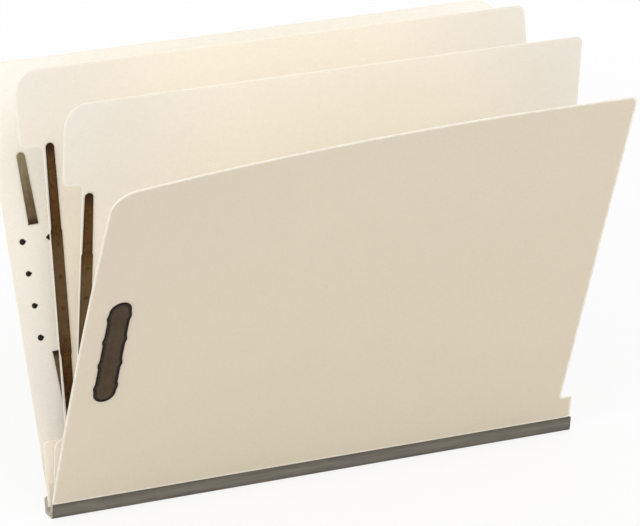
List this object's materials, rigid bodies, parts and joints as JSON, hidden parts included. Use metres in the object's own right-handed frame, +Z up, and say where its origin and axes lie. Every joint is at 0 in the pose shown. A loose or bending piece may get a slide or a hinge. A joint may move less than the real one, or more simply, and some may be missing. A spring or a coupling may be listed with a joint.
{
  "type": "classification folder",
  "caption": "End-tab classification folder standing fanned open on a cloth gusset spine, with dividers and prong fasteners for punched papers.",
  "frame": {"origin": "middle of the spine's underside, on the surface the folder stands on", "axes": "+X along the spine from the fasteners to the end tab, +Y towards the back cover, +Z up"},
  "size_m": [0.3162, 0.2061, 0.2391],
  "materials": {
    "cover_board": "matt cream pressboard",
    "divider_board": "matt cream board, thinner and smoother than the covers",
    "gusset_cloth": "dark grey bonded cloth",
    "divider_tape": "off-white cloth tape",
    "bronzed_steel": "thin brown lacquer on steel"
  },
  "bodies": {
    "spine": {"spine_gusset": "gusset_cloth", "front_divider_foot": "divider_tape", "rear_divider_foot": "divider_tape"},
    "front_cover": {"front_cover": "cover_board", "front_gusset_lap": "gusset_cloth", "front_fastener_plate": "bronzed_steel"},
    "back_cover": {"back_cover": "cover_board", "back_gusset_lap": "gusset_cloth", "back_fastener_plate": "bronzed_steel"},
    "front_divider": {"front_divider": "divider_board", "front_divider_lap": "divider_tape", "front_divider_front_bar": "bronzed_steel", "front_divider_rear_bar": "bronzed_steel"},
    "rear_divider": {"rear_divider": "divider_board", "rear_divider_lap": "divider_tape", "rear_divider_front_bar": "bronzed_steel", "rear_divider_rear_bar": "bronzed_steel"},
    "back_cover_upper_prong": {"back_cover_upper_prong": "bronzed_steel"},
    "back_cover_lower_prong": {"back_cover_lower_prong": "bronzed_steel"},
    "front_cover_upper_prong": {"front_cover_upper_prong": "bronzed_steel"},
    "front_cover_lower_prong": {"front_cover_lower_prong": "bronzed_steel"},
    "front_divider_front_upper_prong": {"front_divider_front_upper_prong": "bronzed_steel"},
    "front_divider_front_lower_prong": {"front_divider_front_lower_prong": "bronzed_steel"},
    "front_divider_rear_upper_prong": {"front_divider_rear_upper_prong": "bronzed_steel"},
    "front_divider_rear_lower_prong": {"front_divider_rear_lower_prong": "bronzed_steel"},
    "rear_divider_front_upper_prong": {"rear_divider_front_upper_prong": "bronzed_steel"},
    "rear_divider_front_lower_prong": {"rear_divider_front_lower_prong": "bronzed_steel"},
    "rear_divider_rear_upper_prong": {"rear_divider_rear_upper_prong": "bronzed_steel"},
    "rear_divider_rear_lower_prong": {"rear_divider_rear_lower_prong": "bronzed_steel"}
  },
  "joints": [
    {"name": "front_cover_crease", "type": "hinge", "parent": "spine", "child": "front_cover", "pos_m": [0, -0.006, 0.0084], "axis": [1, 0, 0], "range_deg": [-15, 64]},
    {"name": "back_cover_crease", "type": "hinge", "parent": "spine", "child": "back_cover", "pos_m": [0, 0.006, 0.0084], "axis": [-1, 0, 0], "range_deg": [-12, 66]},
    {"name": "front_divider_crease", "type": "hinge", "parent": "spine", "child": "front_divider", "pos_m": [0, -0.0018, 0.004], "axis": [1, 0, 0], "range_deg": [-6.5, 13]},
    {"name": "rear_divider_crease", "type": "hinge", "parent": "spine", "child": "rear_divider", "pos_m": [0, 0.0018, 0.004], "axis": [-1, 0, 0], "range_deg": [-6.5, 10]},
    {"name": "back_cover_upper_prong_fold", "type": "hinge", "parent": "back_cover", "child": "back_cover_upper_prong", "pos_m": [-0.1377, 0.06104, 0.14418], "axis": [0.9995, 0.012, 0.029], "range_deg": [0, 70]},
    {"name": "back_cover_lower_prong_fold", "type": "hinge", "parent": "back_cover", "child": "back_cover_lower_prong", "pos_m": [-0.1355, 0.03444, 0.07963], "axis": [-0.9995, -0.012, -0.029], "range_deg": [0, 12]},
    {"name": "front_cover_upper_prong_fold", "type": "hinge", "parent": "front_cover", "child": "front_cover_upper_prong", "pos_m": [-0.13981, -0.0678, 0.14125], "axis": [-0.999, -0.0309, -0.0336], "range_deg": [0, 90]},
    {"name": "front_cover_lower_prong_fold", "type": "hinge", "parent": "front_cover", "child": "front_cover_lower_prong", "pos_m": [-0.13859, -0.03693, 0.07857], "axis": [0.9998, 0.0032, 0.0205], "range_deg": [0, 17]},
    {"name": "front_divider_front_upper_prong_fold", "type": "hinge", "parent": "front_divider", "child": "front_divider_front_upper_prong", "pos_m": [-0.1392, -0.0207, 0.15374], "axis": [1, 0, 0], "range_deg": [0, 90]},
    {"name": "front_divider_front_lower_prong_fold", "type": "hinge", "parent": "front_divider", "child": "front_divider_front_lower_prong", "pos_m": [-0.1392, -0.01231, 0.08439], "axis": [-1, 0, 0], "range_deg": [0, 22]},
    {"name": "front_divider_rear_upper_prong_fold", "type": "hinge", "parent": "front_divider", "child": "front_divider_rear_upper_prong", "pos_m": [-0.1392, -0.01916, 0.15393], "axis": [-1, 0, 0], "range_deg": [0, 90]},
    {"name": "front_divider_rear_lower_prong_fold", "type": "hinge", "parent": "front_divider", "child": "front_divider_rear_lower_prong", "pos_m": [-0.1392, -0.01077, 0.08458], "axis": [1, 0, 0], "range_deg": [0, 22]},
    {"name": "rear_divider_front_upper_prong_fold", "type": "hinge", "parent": "rear_divider", "child": "rear_divider_front_upper_prong", "pos_m": [-0.1386, 0.02491, 0.15315], "axis": [1, 0, 0], "range_deg": [0, 80]},
    {"name": "rear_divider_front_lower_prong_fold", "type": "hinge", "parent": "rear_divider", "child": "rear_divider_front_lower_prong", "pos_m": [-0.1386, 0.01386, 0.08418], "axis": [-1, 0, 0], "range_deg": [0, 12]},
    {"name": "rear_divider_rear_upper_prong_fold", "type": "hinge", "parent": "rear_divider", "child": "rear_divider_rear_upper_prong", "pos_m": [-0.1386, 0.02644, 0.1529], "axis": [-1, 0, 0], "range_deg": [0, 58]},
    {"name": "rear_divider_rear_lower_prong_fold", "type": "hinge", "parent": "rear_divider", "child": "rear_divider_rear_lower_prong", "pos_m": [-0.1386, 0.01539, 0.08393], "axis": [1, 0, 0], "range_deg": [0, 8]}
  ]
}
